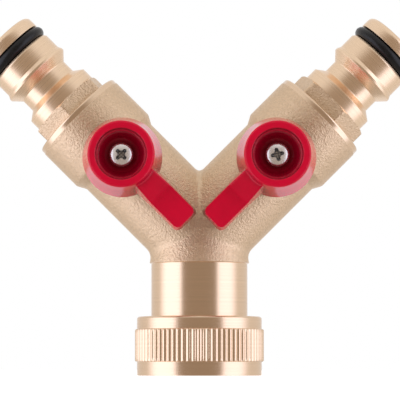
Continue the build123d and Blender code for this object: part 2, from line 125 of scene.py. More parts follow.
LEVER_LENGTH = 20.6
LEVER_WIDTH = 5.9
LEVER_FACE_H = 18.6
LEVER_DRAFT = 0.12
ARM_START = 6.75
ARM_BLANK_SPARE = 1.5
TIP_ROUND = 1.3
POCKET_R = 7.9
POCKET_ANGLE = 113.0
POCKET_H = (12.1, 13.72)
STEM_HOLE_R = 3.6
STEM_HOLE_HALF_FLAT = 2.5
STEM_HOLE_H = (13.0, 17.3)
SCREW_HOLE_R = 1.6
SCREW_HOLE_H = (16.0, 19.0)
LEVER_VOXEL = 0.13
LEVER_RELAXING = 12
SCREW_SEAT_H = 19.3
SCREW_TOP_H = 21.4
SCREW_HEAD_R = 2.65
SCREW_DOME = 0.62
SCREW_EDGE_DROP = 0.3
CROSS_TURN = {"left": 0.0, "right": 58.0}
CROSS_SLOT = ((0.8, 0.18, -1.35), (1.4, 0.34, -0.5), (1.8, 0.58, 0.35))  # reach, half width, height
SHARP_ANGLE = 38.0


# ---------------------------------------------------------------- frames
def unit(v):
    v = np.asarray(v, float)
    return v / np.linalg.norm(v)


JUNCTION = np.array([0.0, 0.0, JUNCTION_Z])


def arm_frame(side):
    """Origin and the three directions of an arm: across in the arms' plane, towards the back, and along."""
    along = unit(MOUNTS[f"{side}_outlet_nose"]["axis"])
    back = np.array([0.0, 1.0, 0.0])
    across = np.cross(back, along)
    return JUNCTION, across, back, along


NECK_FRAME = (JUNCTION, np.array([-1.0, 0.0, 0.0]), np.array([0.0, 1.0, 0.0]), np.array([0.0, 0.0, -1.0]))


def valve_frame(side):
    """Origin at the ball's centre: along the lever, across it, and out to the front."""
    centre = np.array(JOINTS[f"{side}_lever_turn"]["pos_m"]) / MM
    lever = -arm_frame(side)[3]
    front = np.array([0.0, -1.0, 0.0])
    return centre, lever, np.cross(front, lever), front


# ---------------------------------------------------------------- profiles
def rounded(points, segments=5):
    """Polyline of (r, s) or (r, s, fillet radius) corners with the fillets worked out."""
    corners = [(p[0], p[1], p[2] if len(p) > 2 else 0.0) for p in points]
    line = []
    for k, (r, s, fillet) in enumerate(corners):
        here = np.array([r, s])
        if not fillet or k in (0, len(corners) - 1):
            line.append((r, s))
            continue
        before = unit(np.array(corners[k - 1][:2]) - here)
        after = unit(np.array(corners[k + 1][:2]) - here)
        half = acos(max(-1.0, min(1.0, float(before @ after)))) / 2
        reach = fillet / tan(half)
        centre = here + unit(before + after) * fillet / sin(half)
        start = here + before * reach - centre
        turn = pi - 2 * half
        end = here + after * reach - centre
        way = np.sign(start[0] * end[1] - start[1] * end[0])
        for j in range(segments + 1):
            a = way * turn * j / segments
            spun = (start[0] * cos(a) - start[1] * sin(a), start[0] * sin(a) + start[1] * cos(a))
            line.append((centre[0] + spun[0], centre[1] + spun[1]))
    return line


def lathe_rings(profile, axes, columns):
    """One ring of points for each (r, s) of the profile."""
    origin, across, back, along = axes
    angles = np.arange(columns) * 2 * pi / columns
    spoke = np.outer(np.cos(angles), across) + np.outer(np.sin(angles), back)
    return [origin + spoke * r + along * s for r, s in profile]


# ---------------------------------------------------------------- meshes
def smooth(mesh, angle):
    """Smooth shading, but for edges sharper than that many degrees."""
    mesh.shade_smooth()
    mesh.set_sharp_from_angle(angle=radians(angle))


def mesh_object(name, points, faces, smooth_angle=SHARP_ANGLE):
    mesh = bpy.data.meshes.new(name)
    mesh.from_pydata([tuple(p * MM) for p in points], [], faces)
    build = bmesh.new()
    build.from_mesh(mesh)
    bmesh.ops.remove_doubles(build, verts=build.verts, dist=1e-6)
    bmesh.ops.dissolve_degenerate(build, edges=build.edges, dist=1e-7)
    bmesh.ops.recalc_face_normals(build, faces=build.faces)
    build.to_mesh(mesh)
    build.free()
    smooth(mesh, smooth_angle)
    piece = bpy.data.objects.new(name, mesh)
    bpy.context.scene.collection.objects.link(piece)
    return piece


def ring_faces(rings, closed_profile, first=0):
    """Quads between neighbouring rings, which all hold the same number of points."""
    count = len(rings[0])
    faces = []
    spans = len(rings) if closed_profile else len(rings) - 1
    for i in range(spans):
        a = first + i * count
        b = first + ((i + 1) % len(rings)) * count
        for j in range(count):
            k = (j + 1) % count
            faces.append((a + j, a + k, b + k, b + j))
    return faces


def lathe(name, profile, axes, columns=160, closed=True, smooth_angle=SHARP_ANGLE):
    """Solid of revolution: a closed profile loops round the wall's section, an open one ends on the axis."""
    rings = lathe_rings(profile, axes, columns)
    return mesh_object(name, np.concatenate(rings), ring_faces(rings, closed), smooth_angle)


def loft(name, rings):
    """Closed solid through rings of equally many points."""
    count = len(rings[0])
    last = (len(rings) - 1) * count
    faces = [tuple(range(count))[::-1], tuple(range(last, last + count))]
    return mesh_object(name, np.concatenate(rings), faces + ring_faces(rings, False))


def prism(name, outline, origin, u, v, w, low, high):
    """Extrudes an outline in the u, v plane from low to high along w."""
    rings = [np.array([origin + u * x + v * y + w * h for x, y in outline]) for h in (low, high)]
    return loft(name, rings)


def boolean(piece, cutter, operation):
    """Applies one exact boolean and removes the second object."""
    step = piece.modifiers.new(operation.lower(), "BOOLEAN")
    step.operation = operation
    step.solver = "EXACT"
    step.object = cutter
    apply_modifiers(piece)
    bpy.data.objects.remove(cutter)


def apply_modifiers(piece):
    """Puts the evaluated mesh in place of the piece's own."""
    graph = bpy.context.evaluated_depsgraph_get()
    finished = bpy.data.meshes.new_from_object(piece.evaluated_get(graph))
    old = piece.data
    piece.modifiers.clear()
    piece.data = finished
    finished.name = piece.name
    bpy.data.meshes.remove(old)


# ---------------------------------------------------------------- casting
def from_axis(points, axes):
    """Distance from a limb's axis, the outward direction there, and how far along the limb it is."""
    origin, _, _, along = axes
    offset = points - origin
    reach = np.maximum(offset @ along, 0.0)
    outward = offset - reach[:, None] * along
    distance = np.linalg.norm(outward, axis=1)
    return distance, outward / distance[:, None], reach


def soft_union(a, b, normal_a, normal_b, fillet):
    """Union whose seam is rounded like a rolling ball's fillet, and vanishes where the skins are tangent."""
    cosine = np.clip(np.sum(normal_a * normal_b, axis=1), -1.0, 1.0)
    width = np.maximum(4 * fillet * (1 - np.sqrt((1 + cosine) / 2)), 1e-4)
    overlap = np.maximum(width - np.abs(a - b), 0.0) / width
    return np.minimum(a, b) - overlap**2 * width / 4


LIMBS = {"left": arm_frame("left"), "right": arm_frame("right"), "neck": NECK_FRAME}
ARM_CAST_LENGTH = COLLAR_RISE_S[0] - 0.6
NECK_CAST_LENGTH = JUNCTION_Z - NECK_TURNED_Z
NECK_CAST_MARGIN = 0.3
OUTER_SEARCH = (5.0, 20.0)  # distances from the axis between which each skin is looked for
INNER_SEARCH = (0.5, 12.0)
BORE_CONE_LENGTH = NECK_BORE_R - WATERWAY_R
BORE_CONE_START = JUNCTION_Z - NECK_BORE_TOP_Z - BORE_CONE_LENGTH


def outer_field(points):
    """Below zero inside the Y casting's outer skin."""
    left, left_out, _ = from_axis(points, LIMBS["left"])
    right, right_out, _ = from_axis(points, LIMBS["right"])
    neck, neck_out, depth = from_axis(points, LIMBS["neck"])
    neck_r = ARM_R + (NECK_CAST_R - ARM_R) * np.clip(depth / NECK_CAST_LENGTH, 0, 1)
    arms = soft_union(left - ARM_R, right - ARM_R, left_out, right_out, CROTCH_FILLET)
    near_out = np.where((left < right)[:, None], left_out, right_out)
    return soft_union(arms, neck - neck_r, near_out, neck_out, NECK_FILLET)


def inner_field(points):
    """Below zero inside the three waterways."""
    left = from_axis(points, LIMBS["left"])[0] - WATERWAY_R
    right = from_axis(points, LIMBS["right"])[0] - WATERWAY_R
    neck, _, depth = from_axis(points, LIMBS["neck"])
    neck_r = WATERWAY_R + np.clip(depth - BORE_CONE_START, 0, BORE_CONE_LENGTH)
    return np.minimum(np.minimum(left, right), neck - neck_r)


def solve_skin(field, starts, ways, low, high, steps=40):
    """Distance along each ray at which the field crosses zero."""
    near = np.full(len(starts), float(low))
    far = np.full(len(starts), float(high))
    for _ in range(steps):
        middle = (near + far) / 2
        inside = field(starts + ways * middle[:, None]) < 0
        near = np.where(inside, middle, near)
        far = np.where(inside, far, middle)
    return (near + far) / 2


def seam_points(field, limb, other, count, low, high):
    """Where the skin crosses the plane halfway between two limbs, from the front to the back."""
    between = unit(LIMBS[limb][3] + LIMBS[other][3])
    angles = np.linspace(0, pi, count + 1)
    ways = np.outer(-np.cos(angles), [0, 1, 0]) + np.outer(np.sin(angles), between)
    starts = np.tile(JUNCTION, (count + 1, 1))
    return starts + ways * solve_skin(field, starts, ways, low, high)[:, None]


def limb_start(field, limb, others, count, low, high):
    """Closed ring of seam points round one limb."""
    first = seam_points(field, limb, others[0], count, low, high)
    second = seam_points(field, limb, others[1], count, low, high)[::-1]
    return np.concatenate([first[:-1], second[:-1]])


def limb_rings(limb, others, cast_length, outer, inner, count=64, rows=26):
    """Rings from the outer seam along the skin, round the mouth and back down the bore to the inner seam."""
    origin, _, _, along = LIMBS[limb]
    start = limb_start(outer_field, limb, others, count, *OUTER_SEARCH)
    reach = (start - origin) @ along
    spokes = start - origin - reach[:, None] * along
    spokes /= np.linalg.norm(spokes, axis=1)[:, None]
    rings = [start]
    for i in range(1, rows + 1):
        s = reach + (cast_length - reach) * (i / rows) ** 1.5
        centres = origin + s[:, None] * along
        radius = solve_skin(outer_field, centres, spokes, *OUTER_SEARCH)
        rings.append(centres + spokes * radius[:, None])
    for r, s in outer:
        rings.append(origin + spokes * r + along * s)
    finish = limb_start(inner_field, limb, others, count, *INNER_SEARCH)
    inner_reach = (finish - origin) @ along
    inner_spokes = finish - origin - inner_reach[:, None] * along
    inner_spokes /= np.linalg.norm(inner_spokes, axis=1)[:, None]
    for r, s in inner:
        rings.append(origin + inner_spokes * r + along * s)
    rings.append(finish)
    return rings


def arm_outer_profile():
    lip_r = COLLAR_R - LIP_STEP
    lip_s = COLLAR_END_S - LIP_LENGTH
    return rounded(
        [
            (ARM_R, ARM_CAST_LENGTH),
            (ARM_R, COLLAR_RISE_S[0], 0.9),
            (COLLAR_R, COLLAR_RISE_S[1], 1.1),
            (COLLAR_R, lip_s, 0.05),
            (lip_r, lip_s, 0.02),
            (lip_r, COLLAR_END_S, 0.5),
            (SHANK_BORE_R, COLLAR_END_S),
        ]
    )[1:]


def arm_inner_profile():
    return [
        (SHANK_BORE_R, COLLAR_END_S - 0.01),
        (SHANK_BORE_R, CAVITY_S[1]),
        (CAVITY_R, CAVITY_S[1]),
        (CAVITY_R, CAVITY_S[0]),
        (WATERWAY_R, CAVITY_S[0]),
    ]


def neck_outer_profile():
    """s counts down from the junction here."""
    groove_r, groove_low, groove_high = WIRE_GROOVE
    end = JUNCTION_Z - NECK_END_Z
    return rounded(
        [
            (NECK_CAST_R, NECK_CAST_LENGTH - NECK_CAST_MARGIN),
            (NECK_CAST_R, NECK_CAST_LENGTH, 0.12),
            (NECK_TURNED_R, NECK_CAST_LENGTH + 0.15, 0.1),
            (NECK_TURNED_R, JUNCTION_Z - groove_high),
            (groove_r, JUNCTION_Z - groove_high),
            (groove_r, JUNCTION_Z - groove_low),
            (NECK_TURNED_R, JUNCTION_Z - groove_low),
            (NECK_TURNED_R, end, 0.4),
            (NECK_BORE_R, end),
        ]
    )[1:]


def neck_inner_profile():
    return [
        (NECK_BORE_R, JUNCTION_Z - NECK_END_Z - 0.01),
        (NECK_BORE_R, JUNCTION_Z - NECK_BORE_TOP_Z),
        (WATERWAY_R, BORE_CONE_START),
    ]


def build_casting():
    """Two arms and the neck, each with its bore, joined along the seams between them."""
    arm = (ARM_CAST_LENGTH, arm_outer_profile(), arm_inner_profile())
    neck = (NECK_CAST_LENGTH - NECK_CAST_MARGIN, neck_outer_profile(), neck_inner_profile())
    jobs = {
        "left": (("neck", "right"), *arm),
        "right": (("left", "neck"), *arm),
        "neck": (("right", "left"), *neck),
    }
    points = []
    faces = []
    for limb, (others, cast_length, outer, inner) in jobs.items():
        rings = limb_rings(limb, others, cast_length, outer, inner)
        faces += ring_faces(rings, False, first=len(points))
        points += [p for ring in rings for p in ring]
    return mesh_object("body_casting", np.array(points), faces)


def valve_boss(side):
    """Stem housing that flares into the arm at its foot."""
    axes = valve_frame(side)
    profile = rounded(
        [
            (0.0, BOSS_FOOT_H),
            (BOSS_R + BOSS_FLARE, BOSS_FOOT_H),
            (BOSS_R, BOSS_FLARE_TOP_H, 1.0),
            (BOSS_R, BOSS_TOP_H, 0.25),
            (0.0, BOSS_TOP_H),
        ]
    )
    return lathe(f"{side}_boss", profile, axes, columns=97, closed=False)


def valve_lug(side):
    """Lug above the boss that the lever stops against at both ends of its travel."""
    centre, _, _, front = valve_frame(side)
    up = np.array([0.0, 0.0, 1.0])
    beside = np.cross(up, front)
    half = radians(LUG_HALF_ANGLE)
    outline = [(LUG_ROOT_R, 0.0)]
    for k in range(7):
        a = half * (k / 3 - 1)
        outline.append((LUG_R * cos(a), LUG_R * sin(a)))
    return prism(f"{side}_lug", outline, centre, up, beside, front, LUG_BASE_H, BOSS_TOP_H - 0.1)


def stem_bore(side):
    well_r, well_h = STEM_WELL
    bore_r, bore_h = STEM_BORE
    profile = [(0.0, 0.0), (well_r, 0.0), (well_r, well_h), (bore_r, well_h), (bore_r, bore_h), (0.0, bore_h)]
    return lathe(f"{side}_stem_bore", profile, valve_frame(side), columns=95, closed=False)


def finished_casting():
    casting = build_casting()
    for side in SIDES:
        boolean(casting, valve_boss(side), "UNION")
        boolean(casting, valve_lug(side), "UNION")
        boolean(casting, stem_bore(side), "DIFFERENCE")
    smooth(casting.data, SHARP_ANGLE)
    return casting


# ---------------------------------------------------------------- nut
def knurl_steps():
    """Where the columns of one rib stand, as parts of its pitch from the middle of its crest."""
    half = np.array(KNURL_HALF_RIB)
    return np.concatenate([half, 1 - half[-2:0:-1]])


def knurl_angles():
    return (np.arange(KNURL_RIBS)[:, None] + knurl_steps()).ravel() * 2 * pi / KNURL_RIBS


def knurl_radius():
    """Radius of the ribbed band at each column: a rounded crest, sloping flanks and a narrow floor."""
    from_crest = np.abs((knurl_steps() + 0.5) % 1.0 - 0.5)
    _, flat, _, _, curved, floor, _ = KNURL_HALF_RIB
    bend = np.clip(from_crest - flat, 0, curved - flat)
    drop = bend**2 / (2 * (curved - flat)) + np.clip(from_crest, curved, floor) - curved
    full = (curved - flat) / 2 + floor - curved
    return np.tile(KNURL_R - KNURL_DEPTH * drop / full, KNURL_RIBS)


def thread_radius(z, angles):
    """Right-hand internal thread, fading out before the gasket and flared at its mouth."""
    phase = (z / THREAD_PITCH - angles / (2 * pi)) % 1.0
    from_root = np.abs(phase - 0.5) * THREAD_PITCH
    flank = np.maximum(from_root - THREAD_HALF_FLAT, 0) / tan(radians(THREAD_FLANK))
    depth = THREAD_ROOT_R - THREAD_CREST_R - flank
    fade = np.clip((GASKET_POCKET[1] - THREAD_END_GAP - z) / THREAD_FADE, 0, 1)
    flare = THREAD_MOUTH[0] - z * THREAD_MOUTH[1]
    return np.maximum(THREAD_CREST_R + np.maximum(depth, 0) * fade, flare)


def build_nut():
    angles = knurl_angles()
    columns = len(angles)
    spoke = np.stack([np.cos(angles), np.sin(angles), np.zeros(columns)], axis=1)
    ribs = knurl_radius()
    rows = [(np.full(columns, r), z) for r, z in NUT_FOOT]
    low, high = KNURL_Z
    rows += [(np.full(columns, NUT_BAND_R), z) for z in (1.6, low - 0.03)]
    rows += [(np.minimum(ribs, r), low + inset) for r, inset in KNURL_ENDS]
    rows += [(ribs, z) for z in np.linspace(low + 1.0, high - 1.0, 7)]
    rows += [(np.minimum(ribs, r), high - inset) for r, inset in reversed(KNURL_ENDS)]
    top = [
        (NUT_BAND_R, high + 0.03),
        (NUT_BAND_R, NUT_HEIGHT, 0.6),
        (NUT_HOLE_R + 0.15, NUT_HEIGHT),
        (NUT_HOLE_R, NUT_HEIGHT - 0.15),
        (NUT_HOLE_R, WIRE_CHANNEL[2]),
        (WIRE_CHANNEL[0], WIRE_CHANNEL[2]),
        (WIRE_CHANNEL[0], WIRE_CHANNEL[1]),
        (NUT_HOLE_R, WIRE_CHANNEL[1]),
        (NUT_HOLE_R, GASKET_POCKET[2]),
        (GASKET_POCKET[0], GASKET_POCKET[2]),
        (GASKET_POCKET[0], GASKET_POCKET[1]),
    ]
    rows += [(np.full(columns, r), z) for r, z in rounded(top)]
    rows += [(thread_radius(z, angles), z) for z in np.linspace(GASKET_POCKET[1], 0.0, THREAD_ROWS)]
    rings = [spoke * r[:, None] + np.array([0, 0, z]) for r, z in rows]
    return mesh_object("nut_knurled", np.concatenate(rings), ring_faces(rings, True))


# ---------------------------------------------------------------- nipples
def build_nipple(side):
    """Turned nipple whose hexagon's corners lie on columns of the grid."""
    columns = 240
    origin, across, back, along = arm_frame(side)
    start = radians(HEX_TURN[side])
    angles = start + np.arange(columns) * 2 * pi / columns
    spoke = np.outer(np.cos(angles), across) + np.outer(np.sin(angles), back)
    corner = HEX_FLATS / sqrt(3)
    flat = (HEX_FLATS / 2) / np.cos((angles - start) % (pi / 3) - pi / 6)
    hexagon = np.minimum(flat, corner - HEX_CORNER_ROUND)
    cone = (corner - HEX_CHAMFER[0]) / (HEX_S[1] - HEX_CHAMFER[1])
    crest = np.minimum(HEX_S[1] - 0.02, HEX_CHAMFER[1] + (corner - hexagon) / cone)
    ones = np.ones(columns)
    rows = [
        (ones * SHANK_R, ones * HEX_S[0]),
        (hexagon - 0.1, ones * HEX_S[0]),
        (hexagon, ones * (HEX_S[0] + 0.1)),
        (hexagon, crest),
        (np.minimum(hexagon, HEX_CHAMFER[0]), ones * HEX_S[1]),
    ]
    turned = rounded(
        [
            (GUIDE_R, HEX_S[1]),
            (GUIDE_R, 46.3, 0.15),
            (6.53, 47.8, 0.25),
            (6.53, 50.9, 0.25),
            (8.42, 52.9, 0.1),
            (8.42, 53.4, 0.12),
            (8.0, 54.2, 0.2),
            (8.0, 57.9, 0.2),
            (7.6, 58.5, 0.1),
            (5.55, 58.5),
            (5.55, 61.3),
            (7.9, 61.3, 0.05),
            (7.9, TIP_S, 1.3),
            (5.1, TIP_S, 0.1),
            (NIPPLE_BORE_R, TIP_S - 0.6),
            (NIPPLE_BORE_R, SHANK_S + 0.3),
            (NIPPLE_BORE_R + 0.3, SHANK_S),
            (SHANK_R - 0.35, SHANK_S),
            (SHANK_R, SHANK_S + 0.35),
        ],
        segments=7,
    )
    rows += [(ones * r, ones * s) for r, s in turned]
    rings = [origin + spoke * r[:, None] + np.outer(s, along) for r, s in rows]
    return mesh_object(f"{side}_nipple_turned", np.concatenate(rings), ring_faces(rings, True))


def build_seal(side):
    """O-ring with the faint flash line of its mould round the outside."""
    section = []
    steps = 48
    for k in range(steps):
        a = 2 * pi * k / steps
        flash = 0.025 * max(0.0, 1 - abs(k if k < steps / 2 else k - steps) / 1.5)
        cord_r = SEAL_CORD_R + flash
        section.append((SEAL_RING_R + cord_r * cos(a), SEAL_S + cord_r * sin(a)))
    return lathe(f"{side}_nipple_seal", section, arm_frame(side), columns=200, smooth_angle=80.0)


# ---------------------------------------------------------------- levers
def moulded(piece, voxel, steps):
    """Remeshes evenly and relaxes the surface, so every edge gets a moulded radius."""
    piece.data.transform(Matrix.Scale(1 / MM, 4))
    remesh = piece.modifiers.new("remesh", "REMESH")
    remesh.mode = "VOXEL"
    remesh.voxel_size = voxel
    relax = piece.modifiers.new("relax", "SMOOTH")
    relax.factor = 0.5
    relax.iterations = steps
    apply_modifiers(piece)
    piece.data.transform(Matrix.Scale(MM, 4))
    piece.data.shade_smooth()


def lever_plan(height):
    """Outline of the arm seen from the front, wider towards the casting, with rounded corners at its tip."""
    grow = (LEVER_FACE_H - height) * LEVER_DRAFT
    half = LEVER_WIDTH / 2 + grow
    plan = [(ARM_START, -half)]
    for turn, corner_y in ((-90, TIP_ROUND - half), (0, half - TIP_ROUND)):
        for k in range(9):
            a = radians(turn + 90 * k / 8)
            x = LEVER_LENGTH + grow - TIP_ROUND + TIP_ROUND * cos(a)
            plan.append((x, corner_y + TIP_ROUND * sin(a)))
    return plan + [(ARM_START, half)]


def arc(radius, middle, spread, steps):
    angles = [middle + spread * (k / steps - 0.5) for k in range(steps + 1)]
    return [(radius * cos(a), radius * sin(a)) for a in angles]


def build_lever(side):
    """Hub, arm and the hidden cuts, remeshed so that every edge is rounded like a moulding."""
    axes = valve_frame(side)
    centre, lever, across, front = axes
    hub_profile = rounded(
        [
            (0, 13.8),
            (6.6, 13.8),
            (6.6, 12.4),
            (9.1, 12.4, 0.2),
            (7.95, 19.5, 8.0),
            (7.4, 23.2, 0.7),
            (5.7, 23.2, 0.45),
            (5.55, 22.3, 0.15),
            (5.25, 22.2, 0.12),
            (3.95, 19.9, 0.3),
            (2.85, SCREW_SEAT_H + 0.03, 0.1),
            (2.75, SCREW_SEAT_H),
            (0, SCREW_SEAT_H),
        ]
    )
    hub = lathe(f"{side}_lever_moulded", hub_profile, axes, columns=151, closed=False)
    profile = [(ARM_START, 13.95), (8.5, 13.95), (12.0, 15.2), (LEVER_LENGTH + 1, 15.2)]
    profile += [(LEVER_LENGTH + 1, LEVER_FACE_H), (12.4, LEVER_FACE_H), (7.2, 21.1), (ARM_START, 21.25)]
    half = LEVER_WIDTH / 2
    arm = prism("arm", profile, centre, lever, front, across, -half - ARM_BLANK_SPARE, half + ARM_BLANK_SPARE)
    plan = []
    for h in (12.0, 23.0):
        plan.append(np.array([centre + lever * x + across * y + front * h for x, y in lever_plan(h)]))
    boolean(arm, loft("plan", plan), "INTERSECT")
    boolean(hub, arm, "UNION")
    pocket = [(0.0, 0.0)] + arc(POCKET_R, pi, radians(POCKET_ANGLE), 12)
    boolean(hub, prism("pocket", pocket, centre, lever, across, front, *POCKET_H), "DIFFERENCE")
    spread = 2 * acos(sqrt(STEM_HOLE_R**2 - STEM_HOLE_HALF_FLAT**2) / STEM_HOLE_R)
    flatted = arc(STEM_HOLE_R, 0.0, spread, 6) + arc(STEM_HOLE_R, pi, spread, 6)
    boolean(hub, prism("stem_hole", flatted, centre, lever, across, front, *STEM_HOLE_H), "DIFFERENCE")
    low, high = SCREW_HOLE_H
    hole = [(0, low), (SCREW_HOLE_R, low), (SCREW_HOLE_R, high), (0, high)]
    boolean(hub, lathe("screw_hole", hole, axes, columns=41, closed=False), "DIFFERENCE")
    moulded(hub, LEVER_VOXEL, LEVER_RELAXING)
    return hub


def tapered_slot(centre, u, v, front):
    """One bar of the cross: a rounded slot, shorter and narrower at its floor."""
    rings = []
    for reach, half, height in CROSS_SLOT:
        ring = []
        for way in (1, -1):
            for j in range(7):
                b = radians(-90 + 30 * j)
                x, y = way * (reach - half + half * cos(b)), way * half * sin(b)
                ring.append(centre + u * x + v * y + front * (SCREW_TOP_H + height))
        rings.append(np.array(ring))
    return loft("slot", rings)


def build_screw(side):
    """Pan head screw whose cross recess narrows towards its floor."""
    axes = valve_frame(side)
    centre, lever, across, front = axes
    profile = [(0, 13.7), (0.9, 13.7), (1.3, 14.1), (1.3, SCREW_SEAT_H), (SCREW_HEAD_R - 0.05, SCREW_SEAT_H)]
    profile += [(SCREW_HEAD_R, SCREW_SEAT_H + 0.05)]
    for k in range(12, 0, -1):
        part = k / 12
        height = SCREW_TOP_H - SCREW_DOME * part**2 - SCREW_EDGE_DROP * part**20
        profile.append((SCREW_HEAD_R * k / 12, height))
    screw = lathe(f"{side}_screw_detailed", profile + [(0, SCREW_TOP_H)], axes, columns=95, closed=False)
    turn = radians(CROSS_TURN[side])
    for k in range(2):
        a = turn + k * pi / 2
        u = lever * cos(a) + across * sin(a)
        v = np.cross(front, u)
        boolean(screw, tapered_slot(centre, u, v, front), "DIFFERENCE")
    mouth_h = SCREW_TOP_H + 0.3
    cone = [(0, SCREW_TOP_H - 1.75), (0.3, SCREW_TOP_H - 1.7), (1.0, mouth_h), (0, mouth_h)]
    boolean(screw, lathe("cone", cone, axes, columns=33, closed=False), "DIFFERENCE")
    smooth(screw.data, 32.0)
    return screw


# ---------------------------------------------------------------- materials
class Shader:
    """Small helper for building one node material."""

    def __init__(self, name, **sockets):
        self.material = bpy.data.materials.new(name)
        self.material.use_nodes = True
        self.tree = self.material.node_tree
        self.surface = self.tree.nodes["Principled BSDF"]
        for socket, value in sockets.items():
            self.surface.inputs[socket.replace("_", " ")].default_value = value
        self.height = None

    def node(self, kind, **settings):
        made = self.tree.nodes.new(kind)
        for key, value in settings.items():
            setattr(made, key, value)
        return made

    def link(self, output, target):
        self.tree.links.new(output, target)

    def position(self):
        return self.node("ShaderNodeTexCoord").outputs["Object"]

    def noise(self, cell, detail=3.0, roughness=0.55):
        """Noise whose cells are about that many millimetres across."""
        made = self.node("ShaderNodeTexNoise")
        made.inputs["Scale"].default_value = 1 / (cell * MM)
        made.inputs["Detail"].default_value = detail
        made.inputs["Roughness"].default_value = roughness
        self.link(self.position(), made.inputs["Vector"])
        return made.outputs["Fac"]

    def pits(self, cell):
        made = self.node("ShaderNodeTexVoronoi", feature="SMOOTH_F1")
        made.inputs["Scale"].default_value = 1 / (cell * MM)
        made.inputs["Smoothness"].default_value = 0.6
        self.link(self.position(), made.inputs["Vector"])
        return made.outputs["Distance"]

    def rings(self, cell):
        """Streaks that run round a turned piece: noise along its axis only."""
        along = self.node("ShaderNodeAttribute", attribute_name="axial")
        made = self.node("ShaderNodeTexNoise", noise_dimensions="1D")
        made.inputs["Scale"].default_value = 1 / cell
        made.inputs["Detail"].default_value = 4.0
        self.link(along.outputs["Fac"], made.inputs["W"])
        return made.outputs["Fac"]

    def roughness(self, value, low, high):
        """Turns the middle range of a noise value into a roughness from low to high."""
        made = self.node("ShaderNodeMapRange")
        made.inputs["From Min"].default_value = 0.3
        made.inputs["From Max"].default_value = 0.7
        made.inputs["To Min"].default_value = low
        made.inputs["To Max"].default_value = high
        self.link(value, made.inputs["Value"])
        self.link(made.outputs["Result"], self.surface.inputs["Roughness"])

    def colours(self, value, stops):
        made = self.node("ShaderNodeValToRGB")
        ramp = made.color_ramp
        while len(ramp.elements) < len(stops):
            ramp.elements.new(0.5)
        for element, (place, colour) in zip(ramp.elements, stops):
            element.position = place
            element.color = (*colour, 1.0)
        self.link(value, made.inputs["Fac"])
        self.link(made.outputs["Color"], self.surface.inputs["Base Color"])

    def shade(self, value, low, high, shut=0.0):
        """Paints shade into the base colour: multiplies it by low up to the value shut, and by high where it is 1.
        """
        source = self.surface.inputs["Base Color"].links[0].from_socket
        shade_factor = self.node("ShaderNodeMapRange")
        shade_factor.inputs["From Min"].default_value = shut
        shade_factor.inputs["To Min"].default_value = low
        shade_factor.inputs["To Max"].default_value = high
        self.link(value, shade_factor.inputs["Value"])
        shaded_colour = self.node("ShaderNodeVectorMath", operation="SCALE")
        self.link(source, shaded_colour.inputs["Vector"])
        self.link(shade_factor.outputs["Result"], shaded_colour.inputs["Scale"])
        self.link(shaded_colour.outputs["Vector"], self.surface.inputs["Base Color"])

    def openness(self, reach):
        """1 on open surfaces, 0 deep in a recess, looking that many millimetres around; it sets where shade is
        painted.
        """
        made = self.node("ShaderNodeAmbientOcclusion", samples=8)
        made.inputs["Distance"].default_value = reach * MM
        return made.outputs["AO"]

    def bump(self, value, depth, strength=1.0):
        """Adds a bump that many millimetres high."""
        made = self.node("ShaderNodeBump")
        made.inputs["Distance"].default_value = depth * MM
        made.inputs["Strength"].default_value = strength
        self.link(value, made.inputs["Height"])
        if self.height is not None:
            self.link(self.height, made.inputs["Normal"])
        self.height = made.outputs["Normal"]
        self.link(self.height, self.surface.inputs["Normal"])


def tint(colour, factor):
    return tuple(min(1.0, c * factor) for c in colour)


CAST_BRASS = (0.785, 0.59, 0.405)
TURNED_BRASS = (0.86, 0.65, 0.47)
NIPPLE_METAL = (0.95, 0.725, 0.52)
RED = (0.68, 0.0008, 0.032)


def cast_brass():
    m = Shader("cast_brass", Metallic=1.0, Specular_IOR_Level=0.5)
    m.colours(
        m.noise(0.62, detail=5.0),
        [(0.3, tint(CAST_BRASS, 0.90)), (0.5, CAST_BRASS), (0.72, tint(CAST_BRASS, 1.07))],
    )
    m.roughness(m.noise(0.5), 0.30, 0.46)
    m.bump(m.noise(2.2, detail=2.0), 0.07, 0.4)
    m.bump(m.noise(0.48, detail=3.0, roughness=0.65), 0.20, 1.0)
    m.bump(m.pits(0.30), 0.05, 0.8)
    return m.material


def turned_brass(name, roughness=(0.17, 0.26), colour=TURNED_BRASS):
    m = Shader(name, Metallic=1.0, Specular_IOR_Level=0.5)
    m.colours(
        m.rings(0.5),
        [(0.3, tint(colour, 0.97)), (0.55, colour), (0.75, tint(colour, 1.03))],
    )
    m.roughness(m.rings(0.22), *roughness)
    m.bump(m.rings(0.16), 0.0025, 0.7)
    m.bump(m.noise(2.6, detail=3.0), 0.03, 0.3)
    return m.material


def plain_turned(name, colour, roughness, grain=0.4, shade_reach=None):
    """For small metal pieces whose meshes carry no axial attribute; shade is painted into the colour of recesses
    that deep.
    """
    m = Shader(name, Metallic=1.0)
    m.colours(m.noise(grain * 3, detail=5.0), [(0.3, tint(colour, 0.88)), (0.7, tint(colour, 1.06))])
    if shade_reach:
        # painted shade: the colour darkens in recesses that ambient occlusion finds
        m.shade(m.openness(shade_reach), 0.02, 1.1, shut=0.15)
    m.roughness(m.noise(grain), *roughness)
    m.bump(m.noise(grain * 0.6, detail=4.0), 0.006, 0.6)
    return m.material


def red_plastic():
    m = Shader("lever_plastic", Metallic=0.0, IOR=1.42, Specular_IOR_Level=0.32)
    m.colours(
        m.noise(4.0, detail=3.0),
        [(0.3, tint(RED, 0.93)), (0.5, RED), (0.7, tint(RED, 1.05))],
    )
    # painted shade: the red darkens in the hub's recess and other recesses found by ambient occlusion, and is
    # lightened a little on open surfaces
    m.shade(m.openness(14.0), 0.34, 1.15, shut=0.62)
    m.roughness(m.noise(0.8, detail=4.0), 0.08, 0.16)
    m.bump(m.noise(1.8, detail=2.0), 0.015, 0.5)
    m.bump(m.noise(0.16, detail=2.0), 0.0025, 0.5)
    return m.material


